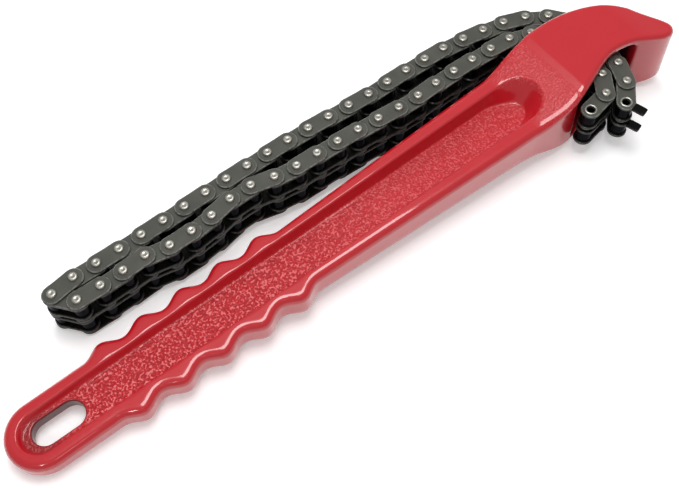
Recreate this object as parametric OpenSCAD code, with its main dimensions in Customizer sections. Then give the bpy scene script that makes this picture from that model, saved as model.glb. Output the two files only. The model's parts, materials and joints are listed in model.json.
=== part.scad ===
// Double chain wrench: a cast handle with a hooked, windowed head,
// and a duplex roller chain whose two strands pass through the window.
// Origin: middle of the hanging slot, on the mid-plane of the casting.
// +X runs along the handle to the head, +Y to the convex back of the head, +Z up.

/* [Handle] */
// Distance from the hanging slot to the middle of the chain window
reach = 247; // [225:1:290]
// Distance from the hanging slot to the round end of the tail
tail_back = 19.8; // [18:0.1:24]
// Width of the handle at the hanging slot
tail_w = 26.4; // [25:0.2:32]
// Width of the handle where the grip ends
grip_w = 26.4; // [25:0.2:32]
// Width of the handle at the neck
neck_w = 33; // [30:0.5:36]
// Thickness of the handle at the hanging slot
tail_t = 10.2; // [9:0.1:13]
// Thickness of the handle at the neck
neck_t = 19.4; // [16:0.1:22]
// Radius on the outer edges of the casting
edge_r = 3; // [2:0.1:3.6]

/* [Grip] */
// Number of finger bumps on each side
grip_bumps = 5; // [3:1:6]
// Distance from bump to bump
grip_pitch = 17; // [15:0.5:19]
// Height of a bump over the valley beside it
grip_rise = 3.2; // [1:0.1:3.6]
// Distance from the hanging slot to the start of the first bump
grip_start = 17.5; // [15:0.5:25]

/* [Pocket and hanging slot] */
// Width of the rim beside the pocket at the tail
tail_rim = 5.4; // [4.5:0.1:7]
// Width of the rim beside the pocket at the neck
neck_rim = 7; // [5.5:0.1:9]
// Thickness of the web between the two pockets
web_t = 5.6; // [4:0.1:7]
// Fillet radius round the floor of a pocket
pocket_fillet = 2.4; // [1.5:0.1:3]
// Length of the hanging slot, end to end
hang_len = 20; // [14:0.5:22]
// Width of the hanging slot
hang_w = 10; // [7:0.2:11]

/* [Head] */
// Metal above and below the window
cheek_t = 3.3; // [3:0.1:8]
// Distance from the centreline to the back of the head
back_y = 20; // [17:0.1:22]
// Distance from the centreline to the deepest point of the throat
throat_y = 8.3; // [7.5:0.1:11]
// Distance from the end of the window to the tip of the jaw
jaw_len = 17; // [14:0.1:20]
// Distance from the centreline down to the tip of the jaw
tip_drop = 12.5; // [11:0.5:19]
// Thickness that the jaw loses towards its tip
tip_loss = 4; // [0:0.5:8]
// Length of the ramp from the neck up to the head
ramp_len = 26; // [20:1:32]

/* [Chain window] */
// Length of the window along the handle
window_len = 34; // [32:0.5:38]
// Distance that the window runs on past that length, towards the handle
window_run = 3.7; // [0:0.1:4]
// Room between the ends of the chain pins and the window
window_gap = 0.6; // [0.5:0.05:1.5]
// Corner radius of the window
window_corner = 2; // [1:0.1:4]

/* [Chain] */
// Distance from pin to pin
pitch = 9.525; // [9.2:0.005:9.9]
// Width between the inner plates of a strand
inner_w = 5.72; // [5:0.01:6.5]
// Thickness of an inner plate
inner_plate_t = 1.3; // [1:0.05:1.6]
// Thickness of an outer plate
outer_plate_t = 1.04; // [0.8:0.02:1.4]
// Thickness of the middle plate between the strands
middle_plate_t = 1.8; // [1.4:0.05:2.2]
// Height of a plate round a pin
plate_h = 7.8; // [7:0.1:7.9]
// Height of a plate at its waist
waist_h = 7.6; // [6:0.1:7.6]
// Diameter of a pin
pin_d = 3.28; // [2.8:0.01:3.5]
// Length of a pin beyond the outer plate
pin_proud = 1.1; // [0.6:0.05:1.4]
// Diameter of the riveted end of a pin
rivet_d = 3.8; // [3.6:0.05:4.4]
// Outer diameter of a bush
bush_d = 4.9; // [4.5:0.05:5.1]
// Diameter of a roller
roller_d = 6.35; // [5.8:0.05:6.6]
// Room between a pin and its bush, all round
pin_gap = 0.06; // [0.03:0.01:0.1]
// Room between a bush and its roller, all round
roller_gap = 0.1; // [0.05:0.01:0.15]
// Room between plates that lie on each other
side_gap = 0.1; // [0.05:0.01:0.2]
// Angle that the lying chain makes with the handle
chain_tip = 1.25; // [0:0.05:1.5]

/* [Stop tabs] */
// Reach of a stop tab from the pin line
tab_reach = 8.6; // [6:0.1:10]
// Width of a stop tab
tab_w = 4; // [3:0.1:5]
// Lean of a stop tab towards the free end of its link
tab_lean = 30; // [0:1:40]

/* [Hidden] */
$fn = 48;
eps = 0.01;

// Links are counted from the tabbed end of the chain to its plain end.
links = 59;
// Link that stands in the window, the fold's two sides, and the link whose pivot is left open.
window_link = 4;
open_link = 30;

// Heading of the links along the lying chain: out through the window, back along the
// handle, round the fold, and in again. Links between two entries turn evenly.
route = [
    [1, 46], [2, 66], [3, 73], [4, 84], [5, 107], [6, 127], [7, 146], [8, 159], [9, 168],
    [11, 173], [12, 178], [15, 181], [16, 177], [18, 177], [20, 180], [25, 182], [29, 179], [30, 188],
    [31, 309], [32, 359], [34, 363], [35, 348], [36, 361], [38, 371], [39, 361], [40, 346], [42, 359],
    [46, 355], [48, 363], [52, 356], [53, 340], [54, 321], [55, 296], [56, 264], [57, 251], [58, 235],
    [59, 190]
];

// Sections of the chain across its width, measured from its mid-plane.
strand_z = middle_plate_t / 2 + side_gap + inner_plate_t + inner_w / 2;
inner_top = strand_z + inner_w / 2 + inner_plate_t;
outer_low = inner_top + side_gap;
pin_half = outer_low + outer_plate_t + pin_proud;

// The window takes the chain, and the head takes the window.
window_half = pin_half + window_gap;
head_half = window_half + cheek_t;

// Stations along the handle.
tail_c = tail_w / 2 - tail_back;
grip_end = grip_start + grip_bumps * grip_pitch;
window_a = reach - window_len / 2;
window_b = reach + window_len / 2;
ramp_top = window_a + 2;
ramp_foot = ramp_top - ramp_len;
neck_x = window_a - 25;
pocket_end = window_a - 11;
tip_x = window_b + jaw_len;

// Place of the window link's inner pin: the long strand runs near the jaw's side.
strand_room = 3.8;
anchor = [window_b - plate_h / 2 - strand_room, 7.2];

casting_red = [0.80, 0.10, 0.13];
chain_black = [0.13, 0.13, 0.14];

function link_name(k) = str(is_inner(k) ? "inner_link_" : "outer_link_", k < 10 ? "0" : "", k);
function is_inner(k) = k % 2 == 1;

// Small helpers for curves
function unit(v) = v / norm(v);
function reverse(v) = [for (i = [len(v) - 1:-1:0]) v[i]];
function smooth(t) = let (u = min(max(t, 0), 1)) u * u * (3 - 2 * u);
function bezier(p, n) = [for (i = [1:n]) let (t = i / n, s = 1 - t)
    s * s * s * p[0] + 3 * s * s * t * p[1] + 3 * s * t * t * p[2] + t * t * t * p[3]];
function arc(c, r, from, to, n) = [for (i = [0:n]) let (a = from + (to - from) * i / n)
    c + r * [cos(a), sin(a)]];
function outward(loop) = let (n = len(loop)) [for (i = [0:n - 1])
    let (t = unit(loop[(i + 1) % n] - loop[(i + n - 1) % n])) [t[1], -t[0]]];

// Half width of the handle, with the finger bumps on it
function half_w(x) = lookup(x, [[tail_c, tail_w / 2], [grip_end, grip_w / 2], [neck_x, neck_w / 2]]);
function bump(x) = x < grip_start || x > grip_end ? 0
    : grip_rise / 2 * (1 - cos(360 * (x - grip_start) / grip_pitch));

// Half thickness of the casting: a taper to the neck, a ramp to the head, a thinner jaw
function half_t(x) = let (bar = lookup(x, [[tail_c, tail_t / 2], [neck_x, neck_t / 2]]),
    jaw = tip_loss / 2 * smooth((x - window_b) / jaw_len))
    bar + (head_half - bar) * smooth((x - ramp_foot) / ramp_len) - jaw;

// Stations of the straight part of the handle, from the tail arc to the neck
bump_steps = 8;
function handle_stations() = concat([for (i = [0:grip_bumps * bump_steps]) grip_start + grip_pitch * i / bump_steps],
    [for (i = [1:8]) grip_end + (neck_x - grip_end) * i / 8]);

// The two edges of the casting's outline, both from the tail to the tip of the jaw
function back_edge() = concat(
    arc([tail_c, 0], tail_w / 2, 180, 90, 8),
    [for (x = handle_stations()) [x, half_w(x) + bump(x)]],
    bezier([[neck_x, neck_w / 2], [neck_x + 11, neck_w / 2 + 1.1], [window_a - 3, back_y], [window_a + 8, back_y]], 10),
    bezier([[window_a + 8, back_y], [window_b - 10, back_y], [window_b + 4, back_y - 6.3],
        [window_b + 10, back_y - 15.8]], 12),
    bezier([[window_b + 10, back_y - 15.8], [window_b + 12.3, back_y - 21.5],
        [tip_x - 1.5, -tip_drop + 7], [tip_x, -tip_drop + 2.5]], 6),
    bezier([[tip_x, -tip_drop + 2.5], [tip_x + 0.9, -tip_drop - 0.5], [tip_x - 0.6, -tip_drop - 2.6],
        [tip_x - 3, -tip_drop - 3.2]], 5));
function throat_edge() = concat(
    arc([tail_c, 0], tail_w / 2, 180, 270, 8),
    [for (x = handle_stations()) [x, -half_w(x) - bump(x)]],
    bezier([[neck_x, -neck_w / 2], [neck_x + 7, -neck_w / 2 - 0.5], [window_a - 11, -neck_w / 2 - 2],
        [window_a - 4, -neck_w / 2 - 0.4]], 10),
    bezier([[window_a - 4, -neck_w / 2 - 0.4], [window_a + 6, -neck_w / 2 + 2], [window_b - 18, -throat_y],
        [window_b - 11, -throat_y]], 12),
    bezier([[window_b - 11, -throat_y], [window_b - 7.5, -throat_y], [window_b - 3.5, -throat_y - 0.5],
        [window_b, -throat_y - 2.3]], 6),
    bezier([[window_b, -throat_y - 2.3], [window_b + 3.5, -throat_y - 4.3], [tip_x - 7, -tip_drop - 4.2],
        [tip_x - 3, -tip_drop - 3.2]], 5));

// The two edges of a pocket, both from its tail end to its head end
function pocket_half(x) = lookup(x, [[tail_c, tail_w / 2 - tail_rim], [neck_x, neck_w / 2 - neck_rim]]);
function pocket_edge(side) = let (end_r = pocket_half(neck_x), end_c = pocket_end - end_r) concat(
    [for (p = arc([0, 0], pocket_half(tail_c), 180, 90, 8)) [tail_c + p[0], side * p[1]]],
    [for (i = [1:10]) let (x = tail_c + (end_c - tail_c) * i / 10) [x, side * pocket_half(x)]],
    [for (p = arc([0, 0], pocket_half(end_c), 80, 0, 8)) [end_c + p[0], side * p[1]]]);

// Solid between rings of points that climb from bottom to top. Each ring runs along its
// right-hand edge and back along its left-hand edge, so that its caps are strips.
module loft(rings) {
    n = len(rings[0]);
    last = len(rings) - 1;
    half = n / 2;
    function at(m, i) = m * n + (i + n) % n;
    sides = [for (m = [0:last - 1], i = [0:n - 1]) each [
        [at(m, i), at(m + 1, i), at(m + 1, i + 1)],
        [at(m, i), at(m + 1, i + 1), at(m, i + 1)]]];
    floor_cap = [for (i = [0:half - 1]) each [
        if (i < half - 1) [at(0, i), at(0, i + 1), at(0, -i - 1)],
        if (i > 0) [at(0, i), at(0, i < half - 1 ? -i - 1 : i + 1), at(0, -i)]]];
    roof_cap = [for (i = [0:half - 1]) each [
        if (i < half - 1) [at(last, i), at(last, -i - 1), at(last, i + 1)],
        if (i > 0) [at(last, i), at(last, -i), at(last, i < half - 1 ? -i - 1 : i + 1)]]];
    polyhedron(points = [for (r = rings) each r], faces = concat(sides, floor_cap, roof_cap), convexity = 8);
}

// Closed outline from two edges that share their first and last points, counter-clockwise
function closed(right, left) = concat(right, [for (i = [len(left) - 2:-1:1]) left[i]]);

// The casting before it is cut: its outline, with the edges rounded above and below
module cast_body() {
    loop = closed(throat_edge(), back_edge());
    out = outward(loop);
    turns = [-90, -60, -30, 0, 0, 30, 60, 90];
    loft([for (j = [0:len(turns) - 1]) let (a = turns[j], up = j < len(turns) / 2 ? -1 : 1)
        [for (i = [0:len(loop) - 1]) let (p = loop[i] - out[i] * edge_r * (1 - cos(a)))
            [p[0], p[1], up * (half_t(p[0]) - edge_r) + edge_r * sin(a)]]]);
}

// Space of one pocket: a filleted floor on the web, walls with draft, a longer run-out at the neck
module pocket_space() {
    loop = closed(pocket_edge(-1), pocket_edge(1));
    out = outward(loop);
    floor_z = web_t / 2;
    draft = 0.06;
    depth = head_half;
    function runout(x) = 1 + 2 * smooth((x - neck_x + 12) / 24);
    function ring(inset, z) = [for (i = [0:len(loop) - 1])
        let (p = loop[i] - out[i] * inset * (inset > 0 ? runout(loop[i][0]) : 1)) [p[0], p[1], z]];
    loft(concat(
        [for (a = [0, 30, 60, 90]) ring(pocket_fillet * (1 - sin(a)), floor_z + pocket_fillet * (1 - cos(a)))],
        [ring(-draft * depth, floor_z + pocket_fillet + depth)]));
}

module hang_slot_space() {
    straight = hang_len - hang_w;
    linear_extrude(tail_t, center = true) union() {
        square([straight, hang_w], center = true);
        for (s = [-1, 1]) translate([s * straight / 2, 0]) circle(d = hang_w);
    }
}

module window_space() {
    through = 2 * (back_y + neck_w);
    cut_x = window_len + window_run;
    flat_x = cut_x - 2 * window_corner;
    flat_z = 2 * (window_half - window_corner);
    translate([window_b - cut_x / 2, 0, 0]) rotate([90, 0, 0]) linear_extrude(through, center = true) union() {
        square([cut_x, flat_z], center = true);
        square([flat_x, 2 * window_half], center = true);
        for (sx = [-1, 1], sz = [-1, 1]) translate([sx * flat_x / 2, sz * flat_z / 2]) circle(r = window_corner);
    }
}

module handle() {
    color(casting_red) difference() {
        cast_body();
        pocket_space();
        mirror([0, 0, 1]) pocket_space();
        hang_slot_space();
        window_space();
    }
}

// Places of the pins along the chain, from the tabbed end
function step(k) = pitch * [cos(lookup(k, route)), sin(lookup(k, route))];
pivots = [for (k = 0, p = [0, 0]; k <= links; p = p + step(k + 1), k = k + 1) p];

// Stands a link, drawn from its first pin along +X, in its place on the lying chain
module link_place(k) {
    translate([reach, 0, 0]) rotate([0, chain_tip, 0]) translate([-reach, 0, 0])
        translate(anchor + pivots[k - 1] - pivots[window_link]) rotate(lookup(k, route)) children();
}

// Outline of a plate: two round ends joined by a waist that runs smoothly into them
module plate_outline() {
    end_r = plate_h / 2;
    waist_r = (pitch * pitch - plate_h * plate_h + waist_h * waist_h) / (4 * (plate_h - waist_h));
    waist_y = waist_r + waist_h / 2;
    lean = unit([pitch / 2, waist_y]);
    for (x = [0, pitch]) translate([x, 0]) circle(r = end_r);
    difference() {
        translate([end_r * lean[0], -end_r * lean[1]]) square([pitch - 2 * end_r * lean[0], 2 * end_r * lean[1]]);
        for (s = [-1, 1]) translate([pitch / 2, s * waist_y]) circle(r = waist_r, $fn = 96);
    }
}

// A pin with both ends spread over the outer plates
module pin() {
    cylinder(d = pin_d, h = 2 * pin_half, center = true);
    for (s = [0, 1]) mirror([0, 0, s]) rivet_head();
}

// The spread end of a pin, from the outside of the outer plate
module rivet_head() {
    translate([0, 0, outer_low + outer_plate_t - eps]) cylinder(d1 = rivet_d, d2 = pin_d, h = pin_proud + eps);
}

module outer_plates() {
    for (s = [0, 1]) mirror([0, 0, s]) translate([0, 0, outer_low]) linear_extrude(outer_plate_t) plate_outline();
    linear_extrude(middle_plate_t, center = true) plate_outline();
}

// Outer link: two outer plates and a middle plate, riveted on two pins
module outer_link() {
    color(chain_black) union() {
        outer_plates();
        for (x = [0, pitch]) translate([x, 0, 0]) pin();
    }
}

// Outer link at the opened pivot: the far pin shows its ends, and leaves the bush free
module open_outer_link() {
    color(chain_black) union() {
        outer_plates();
        pin();
        for (s = [0, 1]) mirror([0, 0, s]) translate([pitch, 0, 0]) rivet_head();
    }
}

// One strand of an inner link: two plates pressed on two bushes
module inner_strand() {
    length = inner_w + 2 * inner_plate_t;
    difference() {
        union() {
            for (s = [-1, 1]) translate([0, 0, s * (inner_w + inner_plate_t) / 2])
                linear_extrude(inner_plate_t, center = true) plate_outline();
            for (x = [0, pitch]) translate([x, 0, 0]) cylinder(d = bush_d, h = length - 2 * eps, center = true);
        }
        for (x = [0, pitch]) translate([x, 0, 0]) cylinder(d = pin_d + 2 * pin_gap, h = length + 1, center = true);
    }
}

// A roller that turns freely on its bush
module roller() {
    difference() {
        cylinder(d = roller_d, h = inner_w - 2 * side_gap, center = true);
        cylinder(d = bush_d + 2 * roller_gap, h = inner_w + 1, center = true);
    }
}

// Inner link: two strands of plates and bushes, with a roller on every bush
module inner_link() {
    color(chain_black) for (s = [-1, 1]) translate([0, 0, s * strand_z]) {
        inner_strand();
        for (x = [0, pitch]) translate([x, 0, 0]) roller();
    }
}

// A tab that stands out of the upper plate of a strand, beside its free bush
module stop_tab() {
    rotate(-tab_lean) translate([-tab_w / 2, -tab_reach, inner_w / 2])
        cube([tab_w, tab_reach - pin_d, inner_plate_t]);
}

// Inner link at the tabbed end of the chain: the tabs keep it from slipping out of the window
module tabbed_end_link() {
    color(chain_black) for (s = [-1, 1]) translate([0, 0, s * strand_z]) {
        union() {
            inner_strand();
            stop_tab();
        }
        for (x = [0, pitch]) translate([x, 0, 0]) roller();
    }
}

module chain_link(k) {
    link_place(k) {
        if (k == 1) tabbed_end_link();
        else if (is_inner(k)) inner_link();
        else if (k == open_link) open_outer_link();
        else outer_link();
    }
}

handle();
for (k = [1:links]) {
    chain_link(k);
}
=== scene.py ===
"""Double chain wrench: a red enamelled casting and a black duplex roller chain folded beside it."""
import json

import bmesh
import bpy
import numpy as np
from mathutils import Matrix


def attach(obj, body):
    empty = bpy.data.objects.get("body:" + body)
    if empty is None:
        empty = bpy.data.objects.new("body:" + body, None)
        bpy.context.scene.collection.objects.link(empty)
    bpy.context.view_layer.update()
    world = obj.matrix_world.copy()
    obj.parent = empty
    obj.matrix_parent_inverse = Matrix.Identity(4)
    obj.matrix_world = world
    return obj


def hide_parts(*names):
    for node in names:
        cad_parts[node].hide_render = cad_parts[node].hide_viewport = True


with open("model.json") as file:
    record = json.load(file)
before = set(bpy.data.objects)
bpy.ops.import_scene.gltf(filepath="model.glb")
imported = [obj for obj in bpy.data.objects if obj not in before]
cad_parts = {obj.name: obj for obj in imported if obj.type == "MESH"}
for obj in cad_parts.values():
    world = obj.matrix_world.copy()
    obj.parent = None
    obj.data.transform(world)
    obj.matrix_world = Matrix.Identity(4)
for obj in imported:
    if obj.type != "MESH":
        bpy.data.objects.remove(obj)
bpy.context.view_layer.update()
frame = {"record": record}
bodies = frame["record"]["behaviour"]["bodies"]
body_of_node = {node: body for body, nodes in bodies.items() for node in nodes}

# x runs from the middle of the hanging slot to the head, y from the throat to the back, z upwards.
# Sizes are in millimetres where nothing else is said, and become metres where a mesh is made
MM = 0.001

# Casting: bar and grip
TAIL_C = -6.6
TAIL_R = 13.2
NECK_X = 205.0
NECK_R = 16.5
TAIL_HALF_T = 5.1
NECK_HALF_T = 9.7
GRIP_START = 17.5
GRIP_PITCH = 17.0
GRIP_BUMPS = 5
GRIP_END = GRIP_START + GRIP_BUMPS * GRIP_PITCH
GRIP_RISE = 3.2

# Casting: head, jaw and chain window
HEAD_HALF_T = 15.46
RAMP_FOOT = 206.0
RAMP_LEN = 26.0
FOLD_X = 228.0
FOLD_DEPTH = 0.5
FOLD_SINK = 14.5
FOLD_BACK = 3.5
BACK_Y = 20.0
THROAT_Y = 8.3
WINDOW_A = 230.0
WINDOW_B = 264.0
WINDOW_MIDDLE = (WINDOW_A + WINDOW_B) / 2
WINDOW_RUN = 3.7
WINDOW_HALF = np.array([(WINDOW_B - WINDOW_A + WINDOW_RUN) / 2, 12.16])
WINDOW_CORNER = 2.0
WINDOW_LIP = 0.9
WINDOW_FROM = WINDOW_A - WINDOW_RUN - 3.2
WINDOW_TO = WINDOW_B + 4.0
TIP_X = 281.0
TIP_DROP = 12.5
TIP_LOSS = 4.0
JAW_LEN = 17.0

# Casting: rounding of the outer edges, which is fuller below the bar and smaller at the head
EDGE_R = 3.0
EDGE_LOSS = 1.1
EDGE_RUN = 16.0
LOWER_WIDE = 4.0
LOWER_TALL = 6.2
LOWER_SHARE = 0.8
LOWER_END = 196.0
LOWER_RUN = 18.0

# Casting: pockets and hanging slot
WEB_HALF_T = 2.8
POCKET_R = (7.8, 9.5)
POCKET_END = 219.0
POCKET_LIP = 0.4
WALL_LEAN = 1.3
WALL_LEAN_MORE = 5.0
WALL_LEAN_X = 200.0
WALL_LEAN_RUN = 16.0
WALL_STRAIGHT = 0.7
HANG_HALF = np.array([10.0, 5.0])
HANG_CORNER = HANG_HALF[1] - 1e-6
HANG_LIP = 0.7
HANG_FROM = -12.9
HANG_TO = 12.6
HANG_REACH = 6.5

# Grid of the casting: steps of the tail, bar and head curves, then for each stretch of stations the
# x of its end and its steps, rows of walls and arcs, columns of a face, and rings round a hole
TAIL_STEPS = 30
BAR_STEPS = 1500
CURVE_STEPS = 70
STRETCHES = (
    (GRIP_START, 21), (GRIP_END, 22 * GRIP_BUMPS), (200.0, 37), (222.0, 66), (234.0, 36), (268.5, 46),
)
JAW_STEPS = 43
WALL_ROWS = np.sin(np.pi / 2 * np.linspace(-1.0, 1.0, 15))
ARC_TURNS = np.linspace(0.0, np.pi / 2, 8)
FACE_COLUMNS = (4, 13, 14, 13, 4)
RING_SHARES = np.array([0.0, 0.25, 0.45, 0.60, 0.72, 0.82, 0.90, 0.96, 0.99, 1.0])
TUNNEL_ROWS = 16
SLOT_ROWS = 6
CASTING_WELD = 0.002

# Places of the parts in the casting's closed section
THROAT_WALL = 0
UPPER_FACE = 2
BACK_WALL = 4
LOWER_FACE = 6

# Chain
LINKS = 59
OPEN_LINK = 30
PITCH = 9.525
PLATE_R = 3.9
WAIST_R = 3.8
STRAND_Z = 5.16
INNER_HALF_W = 2.86
INNER_PLATE_T = 1.3
OUTER_LOW = 9.42
OUTER_PLATE_T = 1.04
MIDDLE_HALF_T = 0.9
PIN_R = 1.64
RIVET_R = 1.9
PIN_TOP = 11.56
BORE_R = 1.7
BUSH_R = 2.45
ROLLER_R = 3.175
ROLLER_FLAT = 2.9
ROLLER_BORE = 2.55
ROLLER_BEVEL = 0.3
ROLLER_PLAY = 0.1
PLATE_BEVEL = 0.32
PLATE_RIM = 0.75
TAB_REACH = 8.6
TAB_START = 3.0
TAB_HALF_W = 2.0
TAB_BEVEL = 0.3
TAB_CORNER = 0.6
TAB_LEAN = 30.0
CHAIN_TIP = np.radians(1.25)
ANCHOR_LINK = 4
ANCHOR = np.array([256.3, 7.2])
ROUTE = {
    1: 46, 2: 66, 3: 73, 4: 84, 5: 107, 6: 127, 7: 146, 8: 159, 9: 168, 11: 173, 12: 178, 15: 181,
    16: 177, 18: 177, 20: 180, 25: 182, 29: 179, 30: 188, 31: 309, 32: 359, 34: 363, 35: 348, 36: 361,
    38: 371, 39: 361, 40: 346, 42: 359, 46: 355, 48: 363, 52: 356, 53: 340, 54: 321, 55: 296, 56: 264,
    57: 251, 58: 235, 59: 190,
}

# Points on half a plate's middle line, waist and round end, on a tab, and sides of what is turned
MIDDLE_POINTS = 5
WAIST_POINTS = 4
ROUND_POINTS = 15
TAB_POINTS = 24
ROLLER_SIDES = 20
BUSH_SIDES = 16
RIM_SIDES = 24
RIVET_SIDES = 20
PIN_SIDES = 16
LINK_WELD = 0.0005
LINK_CRISP = np.radians(33.0)

# Finish of the steel: 0 for plate faces that look out of the chain, about a third for painted shade on
# plate sides and faces inside the chain, up to a half for near black tabs, bushes, rollers and shanks,
# 1 for bright metal
UNSHADED = 0.0
SHADED_SIDE = 0.3
SHADED_FACE = 0.33
TAB_FINISH = 0.36
BUSH_FINISH = 0.45
DARKEST = 0.5
BRIGHT = 1.0

# Camera, fitted to the photograph
CAMERA_AT = (19.554, -156.386, 331.017)
CAMERA_RIGHT = (0.79551, -0.60455, -0.04104)
CAMERA_UP = (0.54595, 0.68572, 0.48139)
CAMERA_LENS = 53.30
CAMERA_FILM = 36.0

# Floor: its rise for each millimetre towards the tail, its half length and its gap under the head
FLOOR_LEAN = 0.0420
FLOOR_REACH = 3000.0
FLOOR_GAP = 0.02

# Lamps: name, place and aim in metres, size, power, and whether gloss mirrors the lamp
LAMPS = (
    ("soft_key", (0.20, 0.07, 0.85), (0.15, 0.0, 0.0), 0.40, 4.2, True),
    ("back_side", (0.45, 0.60, 0.50), (0.13, 0.0, 0.0), 0.30, 1.8, False),
    ("near_glint", (-0.56, -0.48, 0.88), (0.10, 0.0, 0.0), 0.14, 1.1, True),
    ("rim_glint", (-0.12, -0.70, 0.95), (0.13, 0.0, 0.0), 0.10, 0.15, True),
)

# Colours
BLACK = (0.0, 0.0, 0.0, 1.0)
WHITE = (1.0, 1.0, 1.0, 1.0)
ENAMEL_DEEP = (0.48, 0.0065, 0.0135, 1.0)
ENAMEL_PALE = (0.55, 0.0090, 0.0175, 1.0)
# Painted shade in the sand grain's hollows and painted highlights on its high points
PAINTED_PIT_SHADE = (0.24, 0.003, 0.008, 1.0)
PAINTED_GRAIN_GLINT = (0.90, 0.26, 0.26, 1.0)
# Near black painted shade for the casting's hanging slot, window tunnel and tail pocket end
PAINTED_SHADE_BLACK = (0.012, 0.006, 0.006, 1.0)
OXIDE_DEEP = (0.050, 0.052, 0.046, 1.0)
OXIDE_PALE = (0.104, 0.103, 0.086, 1.0)
OXIDE_GLOSS = (0.55, 0.55, 0.57, 1.0)
# Paler plate edges: partly wear, partly painted highlight along the bevels
WORN_EDGE_AND_GLINT = (0.34, 0.34, 0.31, 1.0)
# Painted shade on plate sides and inner faces, and the near black of rollers, bushes, shanks and tabs
BLACK_AND_SHADE = (0.005, 0.005, 0.006, 1.0)
PIN_DEEP = (0.37, 0.36, 0.32, 1.0)
PIN_PALE = (0.49, 0.48, 0.43, 1.0)
PAPER_DEEP = (0.955, 0.955, 0.955, 1.0)
PAPER_PALE = (0.965, 0.965, 0.965, 1.0)
SKY = (0.38, 0.38, 0.38, 1.0)
SKY_IN_GLOSS = (0.46, 0.46, 0.46, 1.0)


def smooth(t):
    """Cubic step from 0 to 1: three t squared less two t cubed, held at both ends."""
    t = np.clip(t, 0.0, 1.0)
    return t * t * (3.0 - 2.0 * t)


def half_width(x):
    """Half width of the bar without its finger bumps, straight between tail, grip end and neck."""
    return np.interp(x, [TAIL_C, GRIP_END, NECK_X], [TAIL_R, TAIL_R, NECK_R])


def finger_bump(x):
    """Raised cosine waves, one a finger, inside the grip."""
    wave = GRIP_RISE / 2 * (1.0 - np.cos(2 * np.pi * (x - GRIP_START) / GRIP_PITCH))
    return np.where((x > GRIP_START) & (x < GRIP_END), wave, 0.0)


def half_thick(x):
    """Half thickness: a straight taper along the bar, a smooth ramp up to the head with a shallow
    fold near its top, and a fall to the tip."""
    bar = np.interp(x, [TAIL_C, NECK_X], [TAIL_HALF_T, NECK_HALF_T])
    rise = (HEAD_HALF_T - bar) * smooth((x - RAMP_FOOT) / RAMP_LEN)
    sink = smooth((x - FOLD_X + FOLD_SINK) / FOLD_SINK)
    fold = FOLD_DEPTH * sink * (1.0 - smooth((x - FOLD_X) / FOLD_BACK))
    return bar + rise - fold - TIP_LOSS / 2 * smooth((x - WINDOW_B) / JAW_LEN)


def edge_radius(x):
    """Radius of the casting's outer edges: full along the bar, smaller where the head's cheeks
    are thin."""
    return EDGE_R - EDGE_LOSS * smooth((x - RAMP_FOOT) / EDGE_RUN)


def upper_edge(x):
    """Width and height of the upper edges' rounding, both the edge radius."""
    return edge_radius(x), edge_radius(x)


def lower_edge(x):
    """Width and height of the lower edges' rounding: fuller and taller along the bar, as above at
    the head."""
    radius = edge_radius(x)
    share = 1.0 - smooth((x - LOWER_END) / LOWER_RUN)
    tall = np.minimum(LOWER_TALL, LOWER_SHARE * half_thick(x))
    return radius + share * (LOWER_WIDE - EDGE_R), radius + share * (tall - radius)


def pocket_inside(x, y):
    """How far a point lies inside the pocket: its half width less the distance to the middle line."""
    half = np.interp(x, [TAIL_C, NECK_X], POCKET_R)
    middle = np.clip(x, TAIL_C, POCKET_END - POCKET_R[1])
    return half - np.hypot(x - middle, y)


def wall_reach(x):
    """How far a pocket's wall leans in over its floor: a little along the sides, much more at the
    head end."""
    return WALL_LEAN + WALL_LEAN_MORE * smooth((x - WALL_LEAN_X) / WALL_LEAN_RUN)


def face_height(x, y):
    """Height of the upper face: the half thickness less the pocket, whose wall falls to the web as
    a slope that is mostly straight."""
    share = np.clip((pocket_inside(x, y) + POCKET_LIP) / (POCKET_LIP + wall_reach(x)), 0.0, 1.0)
    fall = WALL_STRAIGHT * share + (1.0 - WALL_STRAIGHT) * smooth(share)
    return half_thick(x) - (half_thick(x) - WEB_HALF_T) * fall


def bezier(corners):
    """Cubic curve from the first of four corners to the last, drawn towards the two between them,
    as a polyline."""
    t = np.linspace(0.0, 1.0, CURVE_STEPS)[:, None]
    a, b, c, d = np.asarray(corners, dtype=float)
    return (1 - t) ** 3 * a + 3 * (1 - t) ** 2 * t * b + 3 * (1 - t) * t ** 2 * c + t ** 3 * d


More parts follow.
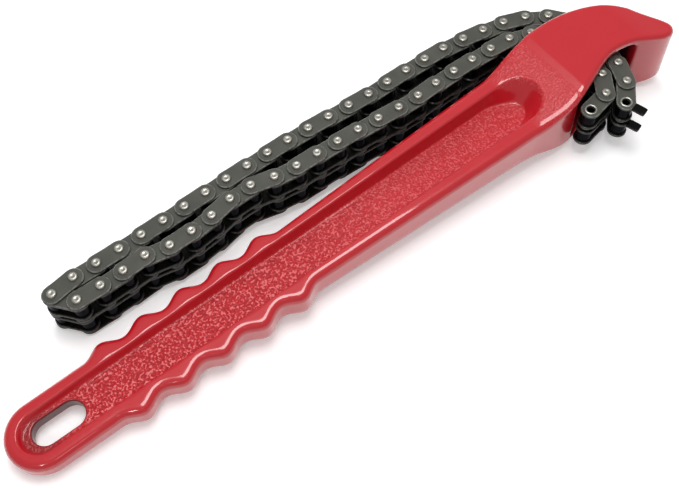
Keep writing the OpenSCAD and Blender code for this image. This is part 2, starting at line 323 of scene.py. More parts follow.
def casting_edge(side):
    """One edge of the casting seen from above, tail to tip: tail arc, bar with bumps, then head
    curves. Gives points, arc length and outward normals."""
    turn = np.linspace(np.pi, np.pi / 2, TAIL_STEPS)
    arc = np.stack([TAIL_C + TAIL_R * np.cos(turn), side * TAIL_R * np.sin(turn)], axis=1)
    bar_x = np.linspace(TAIL_C, NECK_X, BAR_STEPS)
    bar = np.stack([bar_x, side * (half_width(bar_x) + finger_bump(bar_x))], axis=1)
    tip = [TIP_X - 3.0, -TIP_DROP - 3.2]
    if side > 0:
        crown = [WINDOW_A + 8, BACK_Y]
        shoulder = [WINDOW_B + 10, BACK_Y - 15.8]
        nose = [TIP_X, -TIP_DROP + 2.5]
        curves = [
            [[NECK_X, NECK_R], [NECK_X + 11, NECK_R + 1.1], [WINDOW_A - 3, BACK_Y], crown],
            [crown, [WINDOW_B - 10, BACK_Y], [WINDOW_B + 4, BACK_Y - 6.3], shoulder],
            [shoulder, [WINDOW_B + 12.3, BACK_Y - 21.5], [TIP_X - 1.5, -TIP_DROP + 7], nose],
            [nose, [TIP_X + 0.9, -TIP_DROP - 0.5], [TIP_X - 0.6, -TIP_DROP - 2.6], tip],
        ]
    else:
        foot = [WINDOW_A - 4, -NECK_R - 0.4]
        bow = [WINDOW_B - 11, -THROAT_Y]
        heel = [WINDOW_B, -THROAT_Y - 2.3]
        curves = [
            [[NECK_X, -NECK_R], [NECK_X + 7, -NECK_R - 0.5], [WINDOW_A - 11, -NECK_R - 2], foot],
            [foot, [WINDOW_A + 6, -NECK_R + 2], [WINDOW_B - 18, -THROAT_Y], bow],
            [bow, [WINDOW_B - 7.5, -THROAT_Y], [WINDOW_B - 3.5, -THROAT_Y - 0.5], heel],
            [heel, [WINDOW_B + 3.5, -THROAT_Y - 4.3], [TIP_X - 7, -TIP_DROP - 4.2], tip],
        ]
    points = np.concatenate([arc, bar[1:]] + [bezier(c)[1:] for c in curves])
    length = np.concatenate([[0.0], np.cumsum(np.hypot(*np.diff(points, axis=0).T))])
    along = np.gradient(points, length, axis=0)
    along /= np.linalg.norm(along, axis=1, keepdims=True)
    out = side * np.stack([-along[:, 1], along[:, 0]], axis=1)
    return points, length, out


def sample(values, at, where):
    """Rows of a table read at given places by straight interpolation."""
    return np.stack([np.interp(where, at, column) for column in values.T], axis=1)


def round_corners(points, half, radius):
    """Points on a rectangle's edge moved on to the arcs of its rounded corners."""
    core = np.clip(points, -(half - radius), half - radius)
    away = points - core
    return core + away * (radius / np.maximum(np.linalg.norm(away, axis=1, keepdims=True), 1e-9))


def beyond_hole(points, half, radius):
    """Distance of points outside a rounded rectangle."""
    q = np.abs(points) - (half - radius)
    outside = np.linalg.norm(np.maximum(q, 0.0), axis=-1)
    return outside + np.minimum(q.max(axis=-1), 0.0) - radius


def edge_drop(distance, radius):
    """How far a rounded hole edge falls away, as a quarter circle over its radius."""
    inner = np.clip(radius - distance, 0.0, radius)
    return radius - np.sqrt(radius ** 2 - inner ** 2)


def grid_faces(rows, columns, first=0, close_rows=False):
    """Quads of a grid of points, stored row by row. Each row is closed on itself, and the rows
    together are where asked."""
    r = np.arange(rows if close_rows else rows - 1)
    r, c = np.meshgrid(r, np.arange(columns), indexing="ij")
    r2 = (r + 1) % rows
    c2 = (c + 1) % columns
    corners = [r * columns + c, r * columns + c2, r2 * columns + c2, r2 * columns + c]
    return np.stack(corners, axis=-1) + first


def make_object(name, points, faces, attributes, material, weld, crisp=None):
    """Mesh object from the millimetre points that faces use: doubles merged, then normals turned
    outwards, and smooth shading that breaks at edges sharper than the crisp angle."""
    used, order = np.unique(faces, return_inverse=True)
    mesh = bpy.data.meshes.new(name)
    mesh.from_pydata((points[used] * MM).tolist(), [], order.reshape(faces.shape).tolist())
    for label, values in attributes.items():
        layer = mesh.attributes.new(label, "FLOAT", "POINT")
        layer.data.foreach_set("value", np.ascontiguousarray(values[used], dtype=np.float32))
    work = bmesh.new()
    work.from_mesh(mesh)
    bmesh.ops.remove_doubles(work, verts=work.verts, dist=weld * MM)
    bmesh.ops.dissolve_degenerate(work, edges=work.edges, dist=weld * MM)
    bmesh.ops.recalc_face_normals(work, faces=work.faces)
    work.to_mesh(mesh)
    work.free()
    mesh.polygons.foreach_set("use_smooth", np.ones(len(mesh.polygons), dtype=bool))
    if crisp is not None:
        mesh.set_sharp_from_angle(angle=crisp)
    mesh.materials.append(material)
    made = bpy.data.objects.new(name, mesh)
    bpy.context.scene.collection.objects.link(made)
    return made


def casting_stations():
    """Places of the cross-sections on both edges: at the same x up to the jaw, then at equal shares
    of the length that is left. Gives the x up to the jaw, the points and normals of both edges, and
    the edges' tables."""
    turn = np.linspace(np.pi, np.pi / 2, TAIL_STEPS)
    stretches = [TAIL_C + TAIL_R * np.cos(turn)]
    start = TAIL_C
    for end, steps in STRETCHES:
        stretches.append(np.linspace(start, end, steps + 1)[1:])
        start = end
    x = np.concatenate(stretches)
    tables = [casting_edge(-1), casting_edge(1)]
    share = np.linspace(0.0, 1.0, JAW_STEPS + 1)[1:]
    edges = []
    for points, length, out in tables:
        rising = np.argmax(points[:, 0]) + 1
        at = np.interp(x, points[:rising, 0], length[:rising])
        at = np.concatenate([at, at[-1] + share * (length[-1] - at[-1])])
        normal = sample(out, length, at)
        normal /= np.linalg.norm(normal, axis=1, keepdims=True)
        edges.append((sample(points, length, at), normal))
    # At the tail and the tip both edges meet, with one normal
    for end in (0, -1):
        shared = edges[0][1][end] + edges[1][1][end]
        shared = shared / np.linalg.norm(shared)
        for _, normal in edges:
            normal[end] = shared
    return x, edges, tables


def across_shares(throat_in, back_in):
    """Where the columns of a face stand, from throat rim to back rim, closest at the pocket's
    sides. Each lane has its offset from the pocket's side and the shares that it keeps between."""
    width = np.maximum(back_in[:, 1] - throat_in[:, 1], 1e-6)
    half = np.interp(throat_in[:, 0], [TAIL_C, NECK_X], POCKET_R)
    lanes = ((-POCKET_LIP, 0.06, 0.28), (wall_reach(throat_in[:, 0]), 0.30, 0.46))
    stops = [np.zeros_like(half)]
    for offset, low, high in lanes:
        stops.append(np.clip((-half + offset - throat_in[:, 1]) / width, low, high))
    stops += [1.0 - stops[2], 1.0 - stops[1], np.ones_like(half)]
    shares = []
    for start, end, count in zip(stops[:-1], stops[1:], FACE_COLUMNS):
        t = np.linspace(0.0, 1.0, count + 1)[1:]
        shares.append(start[:, None] + (end - start)[:, None] * t)
    return np.concatenate(shares, axis=1)[:, :-1]


def casting_points():
    """Grid of the casting: each station is a closed section of throat wall, rounded edge, upper
    face, rounded edge, back wall, and rounded edge, lower face and rounded edge below. Gives the x of
    the stations up to the jaw, the points, the first column of each part and both edges' tables."""
    x, (throat, back), tables = casting_stations()

    def wall(edge, rows):
        """Straight wall between the rounded edges, its height a share of what they leave above
        and below."""
        x_here = edge[0][:, 0]
        above = half_thick(x_here) - upper_edge(x_here)[1]
        below = half_thick(x_here) - lower_edge(x_here)[1]
        z = np.where(rows > 0.0, above[:, None], below[:, None]) * rows
        flat = np.repeat(edge[0][:, None], len(rows), axis=1)
        return np.concatenate([flat, z[..., None]], axis=2)

    def arc(edge, turns, rounding):
        """Quarter ellipse from the wall to the face: inset by one less cosine, raised by sine."""
        wide, tall = [size[:, None] for size in rounding(edge[0][:, 0])]
        inset = wide * (1.0 - np.cos(turns))
        flat = edge[0][:, None] - edge[1][:, None] * inset[..., None]
        z = half_thick(flat[..., 0]) - tall + tall * np.sin(turns)
        return np.concatenate([flat, z[..., None]], axis=2)

    def face(rounding):
        """Flat of the bar and the pocket, between the inner rims of both rounded edges."""
        inner = [edge[0] - edge[1] * rounding(edge[0][:, :1])[0] for edge in (throat, back)]
        shares = across_shares(*inner)
        flat = inner[0][:, None] + (inner[1] - inner[0])[:, None] * shares[..., None]
        return np.concatenate([flat, face_height(flat[..., 0], flat[..., 1])[..., None]], axis=2)

    under = np.array([1.0, 1.0, -1.0])
    parts = [
        wall(throat, WALL_ROWS),
        arc(throat, ARC_TURNS[1:], upper_edge),
        face(upper_edge),
        arc(back, ARC_TURNS[:0:-1], upper_edge),
        wall(back, WALL_ROWS[::-1]),
        arc(back, ARC_TURNS[1:], lower_edge) * under,
        face(lower_edge)[:, ::-1] * under,
        arc(throat, ARC_TURNS[:0:-1], lower_edge) * under,
    ]
    starts = np.concatenate([[0], np.cumsum([p.shape[1] for p in parts])])
    return x, np.concatenate(parts, axis=1), starts, tables


def border(first, last, width):
    """Index pairs round a block of grid points, station then step across, once round its edge."""
    up = np.arange(first, last)
    across = np.arange(width)
    rows = np.concatenate([up, np.full(width, last), up[::-1] + 1, np.full(width, first)])
    steps = np.concatenate([np.zeros_like(up), across, np.full_like(up, width), across[::-1] + 1])
    return rows, steps


def hole_rings(outer, half, radius):
    """Rings of flat points from a block's border in to a rounded hole: a straight blend of the
    border with the same border squeezed on to the hole."""
    low = outer.min(axis=0)
    high = outer.max(axis=0)
    square = np.clip((outer - (low + high) / 2) / ((high - low) / 2), -1.0, 1.0)
    push = np.abs(square).max(axis=1, keepdims=True)
    hole = round_corners(square / push * half, half, radius)
    return outer + (hole - outer) * RING_SHARES[:, None, None]


def straight_between(first_rim, last_rim, rows):
    """Grid of straight lines from each point of one rim to the same point of another."""
    return first_rim + (last_rim - first_rim) * np.linspace(0.0, 1.0, rows)[:, None, None]


def window_grids(x, points, starts, tables, keep):
    """The chain window: rings in the throat and back walls that round over into it, and the straight
    tunnel between them. The quads that they take the place of are struck from keep."""
    first = int(np.searchsorted(x, WINDOW_FROM))
    last = int(np.searchsorted(x, WINDOW_TO))
    middle = np.array([WINDOW_B - WINDOW_HALF[0], 0.0])
    grids = []
    for part, side, (edge, _, _) in ((THROAT_WALL, -1, tables[0]), (BACK_WALL, 1, tables[1])):
        low = int(starts[part])
        high = int(starts[part + 1]) - 1
        keep[first:last, low:high] = False
        rows, steps = border(first, last, high - low)
        rim = points[rows, low + steps if side < 0 else high - steps]
        rings = hole_rings(rim[:, [0, 2]] - middle, WINDOW_HALF, WINDOW_CORNER)
        drop = edge_drop(beyond_hole(rings, WINDOW_HALF, WINDOW_CORNER), WINDOW_LIP)
        rising = np.argmax(edge[:, 0]) + 1
        ring_x = rings[..., 0] + middle[0]
        y = np.interp(ring_x, edge[:rising, 0], edge[:rising, 1]) - side * drop
        grid = np.stack([ring_x, y, rings[..., 1]], axis=-1)
        grid[0] = rim
        grids.append(grid)
    return grids + [straight_between(grids[0][-1], grids[1][-1], TUNNEL_ROWS)]


def slot_grids(x, points, starts, keep):
    """The hanging slot: rings in the web's two faces that round over into it, and its straight wall.
    The quads that they take the place of are struck from keep."""
    first = int(np.searchsorted(x, HANG_FROM))
    last = int(np.searchsorted(x, HANG_TO))
    lane = points[int(np.searchsorted(x, 0.0)), starts[UPPER_FACE]:starts[UPPER_FACE + 1], 1]
    inside = np.nonzero(np.abs(lane) < HANG_REACH)[0]
    span = int(inside[-1] - inside[0])
    upper_low = int(starts[UPPER_FACE] + inside[0])
    lower_low = int(starts[LOWER_FACE + 1] - 1 - inside[-1])
    rows, steps = border(first, last, span)
    grids = []
    for low, sign in ((upper_low, 1.0), (lower_low, -1.0)):
        high = low + span
        keep[first:last, low:high] = False
        rim = points[rows, low + steps if sign > 0 else high - steps]
        rings = hole_rings(rim[:, :2], HANG_HALF, HANG_CORNER)
        drop = edge_drop(beyond_hole(rings, HANG_HALF, HANG_HALF[1]), HANG_LIP)
        z = sign * (face_height(rings[..., 0], rings[..., 1]) - drop)
        grid = np.concatenate([rings, z[..., None]], axis=-1)
        grid[0] = rim
        grids.append(grid)
    return grids + [straight_between(grids[0][-1], grids[1][-1], SLOT_ROWS)]


def casting_marks(skin, tunnel):
    """Numbers kept on the casting's points, each a product of smooth steps: sand on the pocket floor
    and the neck, the floor itself, and painted shade in the window's tunnel, in the hanging slot and
    round the pocket's end at the tail. The sand is coarsest past the slot, and finer towards the head."""
    x = skin[:, 0]
    inside = pocket_inside(x, skin[:, 1])
    below = half_thick(x) - np.abs(skin[:, 2])
    sunk = smooth(below / 1.5)
    slot_away = beyond_hole(skin[:, :2], HANG_HALF, HANG_HALF[1])
    floor = smooth((inside - wall_reach(x) + 0.5) / 0.9) * sunk * smooth((slot_away - 0.2) / 0.8)
    neck = smooth((x - 204.0) / 12.0) * (1.0 - smooth((x - FOLD_X + 1.5) / 2.5))
    neck = neck * smooth((2.6 - below) / 2.4)
    coarse = 0.82 - 0.52 * smooth((x - 70.0) / 110.0) - 0.42 * smooth((12.0 - x) / 12.0)
    sand = np.maximum(floor * coarse, 0.22 * neck)
    # Painted shade: near black in the hanging slot, fainter round the pocket's end at the tail
    in_slot = 0.80 * smooth((0.6 - slot_away) / 0.5)
    tail_end = smooth((inside - 0.5) / 1.0) * sunk * smooth((6.0 - x) / 14.0)
    painted_shade = np.maximum(in_slot, tail_end * (0.46 - 0.06 * floor))
    # Painted shade inside the window's tunnel, fading towards both mouths
    depth = np.linspace(0.0, 1.0, TUNNEL_ROWS)
    in_tunnel = smooth(np.minimum(depth, 1.0 - depth) / 0.14)
    in_tunnel = np.repeat(in_tunnel, (tunnel.stop - tunnel.start) // TUNNEL_ROWS)
    painted_shade[tunnel] = np.maximum(painted_shade[tunnel], in_tunnel)
    return {"sand": sand, "floor": floor, "painted_shade": painted_shade}


def casting(material):
    """The whole casting as one skin: the lofted grid, with the chain window and the hanging slot
    let in."""
    x, points, starts, tables = casting_points()
    quads = grid_faces(*points.shape[:2])
    keep = np.ones(quads.shape[:2], dtype=bool)
    grids = window_grids(x, points, starts, tables, keep) + slot_grids(x, points, starts, keep)
    flat = [grid.reshape(-1, 3) for grid in [points] + grids]
    ends = np.cumsum([len(part) for part in flat])
    more = [grid_faces(*grid.shape[:2], first).reshape(-1, 4) for grid, first in zip(grids, ends)]
    skin = np.concatenate(flat)
    faces = np.concatenate([quads[keep]] + more)
    # The tunnel is the window's third grid, after the lofted one and the two that hold its rings
    marks = casting_marks(skin, slice(ends[2], ends[3]))
    return make_object("casting", skin, faces, marks, material, CASTING_WELD)


def half_plate_outline(inset):
    """Half a link plate round one pivot: the middle line, the waist arc and the round end. The
    waist's circle touches both round ends and leaves the waist's half width at the middle. The outline
    is drawn in by the inset, apart from the middle line itself."""
    end = PLATE_R - inset
    waist = (PITCH ** 2 - 4 * PLATE_R ** 2 + 4 * WAIST_R ** 2) / (8 * (PLATE_R - WAIST_R))
    waist_y = waist + WAIST_R
    lean = np.arctan2(waist_y, PITCH / 2)
    middle_y = (WAIST_R - inset) * np.linspace(-1.0, 1.0, MIDDLE_POINTS)
    middle = np.stack([np.full(MIDDLE_POINTS, PITCH / 2), middle_y], axis=1)
    spread = np.linspace(-np.pi / 2, lean - np.pi, WAIST_POINTS)[1:]
    sweep = np.stack([np.cos(spread), np.sin(spread)], axis=1)
    upper = np.array([PITCH / 2, waist_y]) + (waist + inset) * sweep
    turn = np.linspace(lean, 2 * np.pi - lean, ROUND_POINTS)[1:-1]
    arc = end * np.stack([np.cos(turn), np.sin(turn)], axis=1)
    return np.concatenate([middle, upper, arc, upper[::-1] * [1.0, -1.0]])


def plate(low, high, bore):
    """A link plate with two bores: for each half, rings run from the bore over the upper face, the
    bevel, the side and the lower face back to the bore. The two halves meet on the middle line. The
    plate's sides and its faces inside the chain take painted shade; faces that look out of the chain
    do not. Each ring has its height, edge wear with painted highlight, and finish."""
    outline = half_plate_outline(0.0)
    angle = np.arctan2(outline[:, 1], outline[:, 0])
    hole = bore * np.stack([np.cos(angle), np.sin(angle)], axis=1)
    shrunk = half_plate_outline(PLATE_BEVEL)
    inner = half_plate_outline(PLATE_RIM)
    # Faces inside the chain take painted shade; faces that look out of it take none
    top = UNSHADED if high > STRAND_Z else SHADED_FACE
    foot = UNSHADED if low < -STRAND_Z else SHADED_FACE
    rings = [
        (hole, low, 0.0, foot), (hole, high, 0.0, top), (inner, high, 0.0, top),
        (shrunk, high, 0.85, top), (outline, high - PLATE_BEVEL, 0.7, SHADED_SIDE),
        (outline, low + PLATE_BEVEL, 0.5, SHADED_SIDE), (shrunk, low, 0.85, foot),
        (inner, low, 0.0, foot),
    ]
    count = len(outline)
    flat = np.concatenate([np.column_stack([r, np.full(count, z)]) for r, z, _, _ in rings])
    wear_and_glint = np.repeat([w for _, _, w, _ in rings], count)
    finish = np.repeat([f for _, _, _, f in rings], count)
    quads = grid_faces(len(rings), count, close_rows=True)
    # The middle line has no bevel and no side
    keep = np.ones(quads.shape[:2], dtype=bool)
    keep[2:7, 0:MIDDLE_POINTS - 1] = False
    faces = quads[keep]
    other = flat * [-1.0, 1.0, 1.0] + [PITCH, 0.0, 0.0]
    both = np.concatenate([faces, faces[:, ::-1] + len(flat)])
    return np.concatenate([flat, other]), both, np.tile(finish, 2), np.tile(wear_and_glint, 2)


def turned(profile, at, sides):
    """A profile of radius and height turned round an axis at a pivot. It starts and ends on the axis
    or comes back to its start, so that the turned skin is closed."""
    profile = np.asarray(profile, dtype=float)
    angle = np.linspace(0.0, 2 * np.pi, sides, endpoint=False)
    x = at + profile[:, :1] * np.cos(angle)
    y = profile[:, :1] * np.sin(angle)
    z = np.repeat(profile[:, 1:], sides, axis=1)
    points = np.stack([x, y, z], axis=-1).reshape(-1, 3)
    return points, grid_faces(len(profile), sides).reshape(-1, 4)


def stop_tab(low, high):
    """A flat tongue beside the free bush: a rounded rectangle with bevelled edges, closed in its
    middle. Each ring has its height and its edge wear with painted highlight."""
    angle = np.linspace(0.0, 2 * np.pi, TAB_POINTS, endpoint=False)
    square = np.stack([np.cos(angle), np.sin(angle)], axis=1)
    square = square / np.abs(square).max(axis=1, keepdims=True)
    half = np.array([TAB_HALF_W, (TAB_REACH - TAB_START) / 2])
    outline = round_corners(square * half, half, TAB_CORNER)
    shrunk = round_corners(square * (half - TAB_BEVEL), half - TAB_BEVEL, TAB_CORNER)
    middle = square * 0.0
    rings = [
        (middle, low, 0.0), (shrunk, low, 0.7), (outline, low + TAB_BEVEL, 1.0),
        (outline, high - TAB_BEVEL, 1.0), (shrunk, high, 0.7), (middle, high, 0.0),
    ]
    points = np.concatenate([np.column_stack([r, np.full(TAB_POINTS, z)]) for r, z, _ in rings])
    points[:, 1] -= (TAB_REACH + TAB_START) / 2
    lean = np.radians(-TAB_LEAN)
    turn = np.array([[np.cos(lean), -np.sin(lean)], [np.sin(lean), np.cos(lean)]])
    points[:, :2] = points[:, :2] @ turn.T
    wear_and_glint = np.repeat([w for _, _, w in rings], TAB_POINTS)
    return points, grid_faces(len(rings), TAB_POINTS).reshape(-1, 4), wear_and_glint


class Heap:
    """Collects the points, faces, edge wear with painted highlight, and finish of a link's pieces."""

    def __init__(self):
        self.points = []
        self.faces = []
        self.wear_and_glint = []
        self.finish = []
        self.total = 0

    def add(self, points, faces, finish, wear_and_glint=None):
        """Adds one piece, with one finish for all its points or one for each."""
        self.points.append(points)
        self.faces.append(faces + self.total)
        self.wear_and_glint.append(np.zeros(len(points)) if wear_and_glint is None else wear_and_glint)
        self.finish.append(np.zeros(len(points)) + finish)
        self.total += len(points)

    def arrays(self):
        """All pieces as whole arrays."""
        return [np.concatenate(a) for a in (self.points, self.faces, self.wear_and_glint, self.finish)]


def inner_link(free_end, tabs):
    """Two strands of plates on bushes, with rollers. A free end shows its bright, rounded bush
    rims."""
    heap = Heap()
    for side in (-1.0, 1.0):
        for place in (-1.0, 1.0):
            middle = side * STRAND_Z + place * (INNER_HALF_W + INNER_PLATE_T / 2)
            heap.add(*plate(middle - INNER_PLATE_T / 2, middle + INNER_PLATE_T / 2, BORE_R))
        low = side * STRAND_Z - INNER_HALF_W + ROLLER_PLAY
        high = side * STRAND_Z + INNER_HALF_W - ROLLER_PLAY
        ring = [
            (ROLLER_BORE, low), (ROLLER_FLAT, low), (ROLLER_R, low + ROLLER_BEVEL),
            (ROLLER_R, high - ROLLER_BEVEL), (ROLLER_FLAT, high), (ROLLER_BORE, high),
            (ROLLER_BORE, low),
        ]
        foot = low - ROLLER_PLAY
        top = high + ROLLER_PLAY
        sleeve = [(BORE_R, foot), (BUSH_R, foot), (BUSH_R, top), (BORE_R, top), (BORE_R, foot)]
        for at in (0.0, PITCH):
            heap.add(*turned(ring, at, ROLLER_SIDES), DARKEST)
            heap.add(*turned(sleeve, at, BUSH_SIDES), BUSH_FINISH)
        if free_end is not None:
            for place in (-1.0, 1.0):
                face = side * STRAND_Z + place * (INNER_HALF_W + INNER_PLATE_T)
                deep = face - place * 0.05
                brow = face + place * 0.08
                rim = [
                    (BUSH_R, deep), (2.36, brow), (2.08, face + place * 0.16), (1.82, brow),
                    (BORE_R, deep), (BUSH_R, deep),
                ]
                heap.add(*turned(rim, free_end, RIM_SIDES), BRIGHT)
        if tabs:
            low = side * STRAND_Z + INNER_HALF_W
            points, faces, wear_and_glint = stop_tab(low, low + INNER_PLATE_T)
            heap.add(points, faces, TAB_FINISH, wear_and_glint)
    return heap.arrays()


def outer_link(open_pin):
    """Two outer plates and a middle plate on two pins, whose ends are spread and dished."""
    heap = Heap()
    for low, high in (
        (OUTER_LOW, OUTER_LOW + OUTER_PLATE_T), (-OUTER_LOW - OUTER_PLATE_T, -OUTER_LOW),
        (-MIDDLE_HALF_T, MIDDLE_HALF_T),
    ):
        heap.add(*plate(low, high, PIN_R - 0.02))
    top = OUTER_LOW + OUTER_PLATE_T
    # Radius, height and finish of a rivet head, from inside the plate to its dished middle; the finish
    # dips a little at the foot and in the dish, which paints shade there
    head = np.array([
        (0.0, top - 0.3, 0.86), (1.5, top - 0.3, 0.86), (RIVET_R, top - 0.02, 0.88),
        (RIVET_R - 0.02, top + 0.35, 0.92), (RIVET_R - 0.22, top + 0.85, BRIGHT),
        (1.35, PIN_TOP - 0.03, BRIGHT), (0.95, PIN_TOP, BRIGHT), (0.62, PIN_TOP - 0.1, 0.86),
        (0.0, PIN_TOP - 0.2, 0.84),
    ])
    head_finish_shade = np.repeat(head[:, 2], RIVET_SIDES)
    shank = [(0.0, -top), (PIN_R, -top), (PIN_R, top), (0.0, top)]
    for at in (0.0, PITCH):
        for end in (1.0, -1.0):
            heap.add(*turned(head[:, :2] * [1.0, end], at, RIVET_SIDES), head_finish_shade)
        if at == 0.0 or not open_pin:
            heap.add(*turned(shank, at, PIN_SIDES), DARKEST)
    return heap.arrays()


def chain_route():
    """Headings of the links, straight between the given ones, and the pivots that they lead
    through."""
    heading = np.radians(np.interp(np.arange(LINKS + 1), list(ROUTE), list(ROUTE.values())))
    step = PITCH * np.stack([np.cos(heading), np.sin(heading)], axis=1)
    pivots = np.cumsum(step, axis=0)
    return heading, pivots - pivots[ANCHOR_LINK] + ANCHOR


def set_link(points, heading, pivot):
    """A link turned to its heading at its first pivot, then tipped about the window's middle with
    the whole plane of the chain."""
    x = pivot[0] + points[:, 0] * np.cos(heading) - points[:, 1] * np.sin(heading)
    y = pivot[1] + points[:, 0] * np.sin(heading) + points[:, 1] * np.cos(heading)
    out = x - WINDOW_MIDDLE
    tipped_x = WINDOW_MIDDLE + out * np.cos(CHAIN_TIP) + points[:, 2] * np.sin(CHAIN_TIP)
    tipped_z = points[:, 2] * np.cos(CHAIN_TIP) - out * np.sin(CHAIN_TIP)
    return np.stack([tipped_x, y, tipped_z], axis=1)


class Wire:
    """A shader socket whose sums add Math nodes. node() adds any other node."""

    def __init__(self, tree, socket=None):
        self.tree = tree
        self.socket = socket

    def node(self, kind, settings=None, inputs=None, output=0):
        """Adds a node, sets its settings, then gives its sockets their values or links."""
        made = self.tree.nodes.new(kind)
        for key, value in (settings or {}).items():
            setattr(made, key, value)
        for key, value in (inputs or {}).items():
            if isinstance(value, Wire):
                self.tree.links.new(value.socket, made.inputs[key])
            else:
                made.inputs[key].default_value = value
        return Wire(self.tree, made.outputs[output]) if made.outputs else None

    def maths(self, operation, first, second):
        """One Math node."""
        return self.node("ShaderNodeMath", {"operation": operation}, {0: first, 1: second})

    def __add__(self, other):
        return self.maths("ADD", self, other)

    def __radd__(self, other):
        return self.maths("ADD", other, self)

    def __sub__(self, other):
        return self.maths("SUBTRACT", self, other)

    def __rsub__(self, other):
        return self.maths("SUBTRACT", other, self)

    def __mul__(self, other):
        return self.maths("MULTIPLY", self, other)

    def __rmul__(self, other):
        return self.maths("MULTIPLY", other, self)

    def step(self, low, high):
        """0 below low, 1 above high, smooth between."""
        return self.node(
            "ShaderNodeMapRange", {"interpolation_type": "SMOOTHSTEP"},
            {"Value": self, "From Min": low, "From Max": high},
        )

    def between(self, low, high):
        """Straight blend of two numbers or wires by this wire."""
        return self * (high - low) + low

    def tint(self, first, second):
        """Mix of two colours by this wire, at the colour sockets of a Mix node."""
        return self.node("ShaderNodeMix", {"data_type": "RGBA"}, {0: self, 6: first, 7: second}, 2)


def start_material(name):
    """A new node material, the wire that adds its nodes, and its object coordinates."""
    material = bpy.data.materials.new(name)
    material.use_nodes = True
    tree = material.node_tree
    tree.nodes.clear()
    wire = Wire(tree)
    place = wire.node("ShaderNodeTexCoord", output="Object")
    return material, wire, place


def close_material(wire, sockets):
    """Principled finish with the given sockets, joined to the output."""
    finish = wire.node("ShaderNodeBsdfPrincipled", {}, sockets)
    wire.node("ShaderNodeOutputMaterial", {}, {"Surface": finish})


def noise(wire, place, scale, detail, rough):
    """Noise of a given scale, in cells a metre."""
    sockets = {"Vector": place, "Scale": scale, "Detail": detail, "Roughness": rough}
    return wire.node("ShaderNodeTexNoise", {}, sockets)


def attribute(wire, name):
    """A number kept on the mesh's points."""
    return wire.node("ShaderNodeAttribute", {"attribute_name": name}, output="Fac")


def red_enamel():
    """Glossy red enamel over a sand casting: soft orange peel, sand grain where the mesh asks, with
    painted shade in the grain's hollows and painted highlights on its high points, and painted shade,
    near black, inside the window, in the hanging slot and thinly round the pocket's end at the tail."""
    material, wire, place = start_material("red_enamel")
    sand = attribute(wire, "sand")
    floor = attribute(wire, "floor")
    painted_shade = attribute(wire, "painted_shade")
    peel = noise(wire, place, 420.0, 2.0, 0.5)
    grain = noise(wire, place, 1180.0, 1.0, 0.5)
    patches = noise(wire, place, 60.0, 3.0, 0.55)
    grain_up = grain.step(0.35, 0.72)
    flow = patches.tint(ENAMEL_DEEP, ENAMEL_PALE)
    # Painted shade on the low grain and painted highlights on the high grain, where the bump falls and
    # rises
    pit_shade = (sand * (1.0 - grain.step(0.36, 0.50))) * 0.75
    pit_shaded = pit_shade.tint(flow, PAINTED_PIT_SHADE)
    grain_glinted = (sand * grain.step(0.53, 0.64) * 0.75).tint(pit_shaded, PAINTED_GRAIN_GLINT)
    # Painted shade, near black, where the painted shade mark is high
    colour = (painted_shade * 0.94).tint(grain_glinted, PAINTED_SHADE_BLACK)
    height = peel * 0.08 + grain_up * sand * 0.9
    bump = wire.node("ShaderNodeBump", {}, {"Strength": 0.65, "Distance": 0.0006, "Height": height})
    rough = patches.between(0.26, 0.34) - floor * 0.06
    coat = (1.0 - sand * 0.85) * (1.0 - painted_shade * 0.9)
    close_material(wire, {
        "Base Color": colour, "Roughness": rough, "Normal": bump, "Coat Weight": coat,
        "Coat Roughness": 0.05, "IOR": 1.45, "Specular IOR Level": 0.35,
    })
    return material


def steel_and_painted_shade():
    """Black oxide on the plates with paler edges, partly wear and partly painted highlight, painted
    shade on the plates' sides and inner faces, near black rollers and bores, bright pin ends with a
    little painted shade at their foot and in their dish.
    """
    material, wire, place = start_material("steel_and_painted_shade")
    finish = attribute(wire, "finish")
    wear_and_glint = attribute(wire, "wear_and_glint")
    bright = finish.step(0.7, 0.9)
    # Painted shade on plate sides and faces inside the chain; near black on tabs, bushes, rollers and
    # shanks
    black_and_shade_mask = finish.step(0.2, 0.4) * (1.0 - bright)
    cloud = noise(wire, place, 130.0, 3.0, 0.6)
    speck = noise(wire, place, 900.0, 2.0, 0.6)
    plate_tone = cloud.tint(OXIDE_DEEP, OXIDE_PALE)
    # Paler edges: partly wear, partly painted highlight along the bevels, broken by specks
    edge = wear_and_glint.step(0.45, 1.0) * speck.step(0.30, 0.62)
    plate_wear_glint = (edge * 0.85).tint(plate_tone, WORN_EDGE_AND_GLINT)
    with_black_and_shade = black_and_shade_mask.tint(plate_wear_glint, BLACK_AND_SHADE)
    pin_tone = cloud.tint(PIN_DEEP, PIN_PALE)
    colour = bright.tint(with_black_and_shade, pin_tone)
    rough = speck.between(0.34, 0.46) - black_and_shade_mask * 0.16
    height = speck * 0.35 + cloud * 0.3
    bump = wire.node("ShaderNodeBump", {}, {"Strength": 0.25, "Distance": 0.0002, "Height": height})
    metal = bright * 0.95 + edge * 0.35 + black_and_shade_mask * 0.95
    close_material(wire, {
        "Base Color": colour, "Roughness": rough, "Metallic": metal, "Normal": bump, "IOR": 1.5,
        "Specular IOR Level": 0.35, "Specular Tint": OXIDE_GLOSS,
    })
    return material


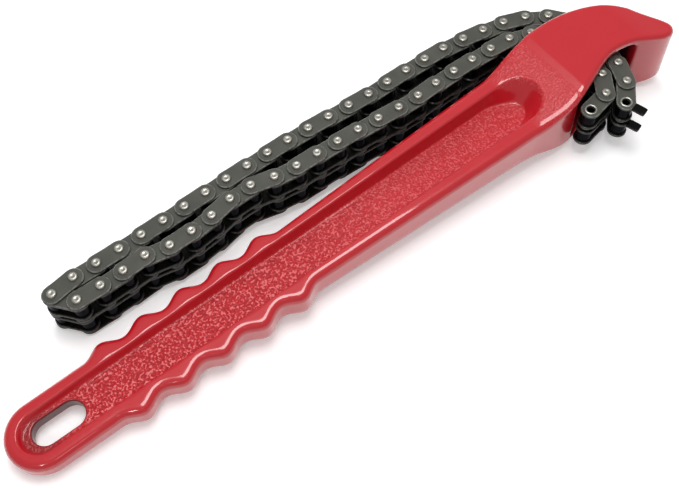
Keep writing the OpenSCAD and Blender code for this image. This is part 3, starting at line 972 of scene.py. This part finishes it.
def pale_floor():
    """Plain white paper on which the tool lies, a little lit where it is seen, mirrored or looked
    at through something, so that it renders near white."""
    material, wire, place = start_material("pale_floor")
    mottle = noise(wire, place, 3.0, 1.0, 0.5)
    colour = mottle.tint(PAPER_DEEP, PAPER_PALE)
    seen = wire.node("ShaderNodeLightPath", output="Is Camera Ray")
    mirrored = wire.node("ShaderNodeLightPath", output="Is Glossy Ray")
    through = wire.node("ShaderNodeLightPath", output="Is Transmission Ray")
    lift = ((seen + mirrored + through) * 0.27).tint(BLACK, WHITE)
    close_material(wire, {
        "Base Color": colour, "Roughness": 0.8, "Specular IOR Level": 0.1,
        "Emission Color": lift, "Emission Strength": 1.0,
    })
    return material


def dress(piece, node):
    """Lets a piece stand for its node and ride on that node's body."""
    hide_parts(node)
    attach(piece, body_of_node[node])


def build_chain():
    """All links on the photographed route, each its kind's shape set at its own place."""
    steel = steel_and_painted_shade()
    heading, pivots = chain_route()
    kinds = {
        "inner": inner_link(None, False),
        "tabbed": inner_link(0.0, True),
        "last": inner_link(PITCH, False),
        "outer": outer_link(False),
        "open": outer_link(True),
    }
    special = {1: "tabbed", LINKS: "last", OPEN_LINK: "open"}
    for k in range(1, LINKS + 1):
        kind = "inner" if k % 2 == 1 else "outer"
        node = f"{kind}_link_{k:02d}"
        points, faces, wear_and_glint, finish = kinds[special.get(k, kind)]
        points = set_link(points, heading[k], pivots[k - 1])
        marks = {"wear_and_glint": wear_and_glint, "finish": finish}
        link = make_object("chain_" + node, points, faces, marks, steel, LINK_WELD, LINK_CRISP)
        dress(link, node)


def build_floor():
    """A wide plane that the head's cheek and the tail's lower edge rest on, as the tool lies in the
    photograph."""
    corners = np.array([[-1.0, -1.0], [1.0, -1.0], [1.0, 1.0], [-1.0, 1.0]]) * FLOOR_REACH
    z = -HEAD_HALF_T - FLOOR_GAP + (WINDOW_A - corners[:, 0]) * FLOOR_LEAN
    mesh = bpy.data.meshes.new("floor")
    mesh.from_pydata((np.column_stack([corners, z]) * MM).tolist(), [], [[0, 1, 2, 3]])
    mesh.materials.append(pale_floor())
    floor = bpy.data.objects.new("floor", mesh)
    bpy.context.scene.collection.objects.link(floor)


def set_up(made, right, up, back, at):
    """Puts a lamp or the camera at its place, facing away from its back direction."""
    turn = np.eye(4)
    turn[:3] = np.stack([right, up, back, at], axis=1)
    made.matrix_world = Matrix(turn.tolist())
    bpy.context.scene.collection.objects.link(made)


def add_lamp(name, at, aim, size, power, mirrored):
    """A soft square lamp that faces its aim."""
    lamp = bpy.data.lights.new(name, "AREA")
    lamp.shape = "SQUARE"
    lamp.size = size
    lamp.energy = power
    made = bpy.data.objects.new(name, lamp)
    made.visible_glossy = mirrored
    back = np.array(at) - np.array(aim)
    back = back / np.linalg.norm(back)
    right = np.cross([0.0, 1.0, 0.2], back)
    right = right / np.linalg.norm(right)
    set_up(made, right, np.cross(back, right), back, at)


def build_light():
    """Even grey surroundings that look white to the camera, a soft lamp above, a weaker one behind
    and two small ones on the near side for the glints."""
    world = bpy.data.worlds.new("studio")
    world.use_nodes = True
    tree = world.node_tree
    tree.nodes.clear()
    wire = Wire(tree)
    mirrored = wire.node("ShaderNodeLightPath", output="Is Glossy Ray")
    seen = wire.node("ShaderNodeLightPath", output="Is Camera Ray")
    tone = seen.tint(mirrored.tint(SKY, SKY_IN_GLOSS), WHITE)
    sky = wire.node("ShaderNodeBackground", {}, {"Color": tone, "Strength": 1.0})
    wire.node("ShaderNodeOutputWorld", {}, {"Surface": sky})
    bpy.context.scene.world = world
    for lamp in LAMPS:
        add_lamp(*lamp)


def build_camera():
    """The photograph's camera."""
    lens = bpy.data.cameras.new("camera")
    lens.lens = CAMERA_LENS
    lens.sensor_width = CAMERA_FILM
    lens.sensor_fit = "HORIZONTAL"
    lens.clip_start = 0.01
    made = bpy.data.objects.new("camera", lens)
    right = np.array(CAMERA_RIGHT)
    up = np.array(CAMERA_UP)
    set_up(made, right, up, np.cross(right, up), np.array(CAMERA_AT) * MM)
    bpy.context.scene.camera = made


build_camera()
dress(casting(red_enamel()), "handle")
build_chain()
build_floor()
build_light()
bpy.context.scene.view_settings.view_transform = "Standard"
bpy.context.view_layer.update()
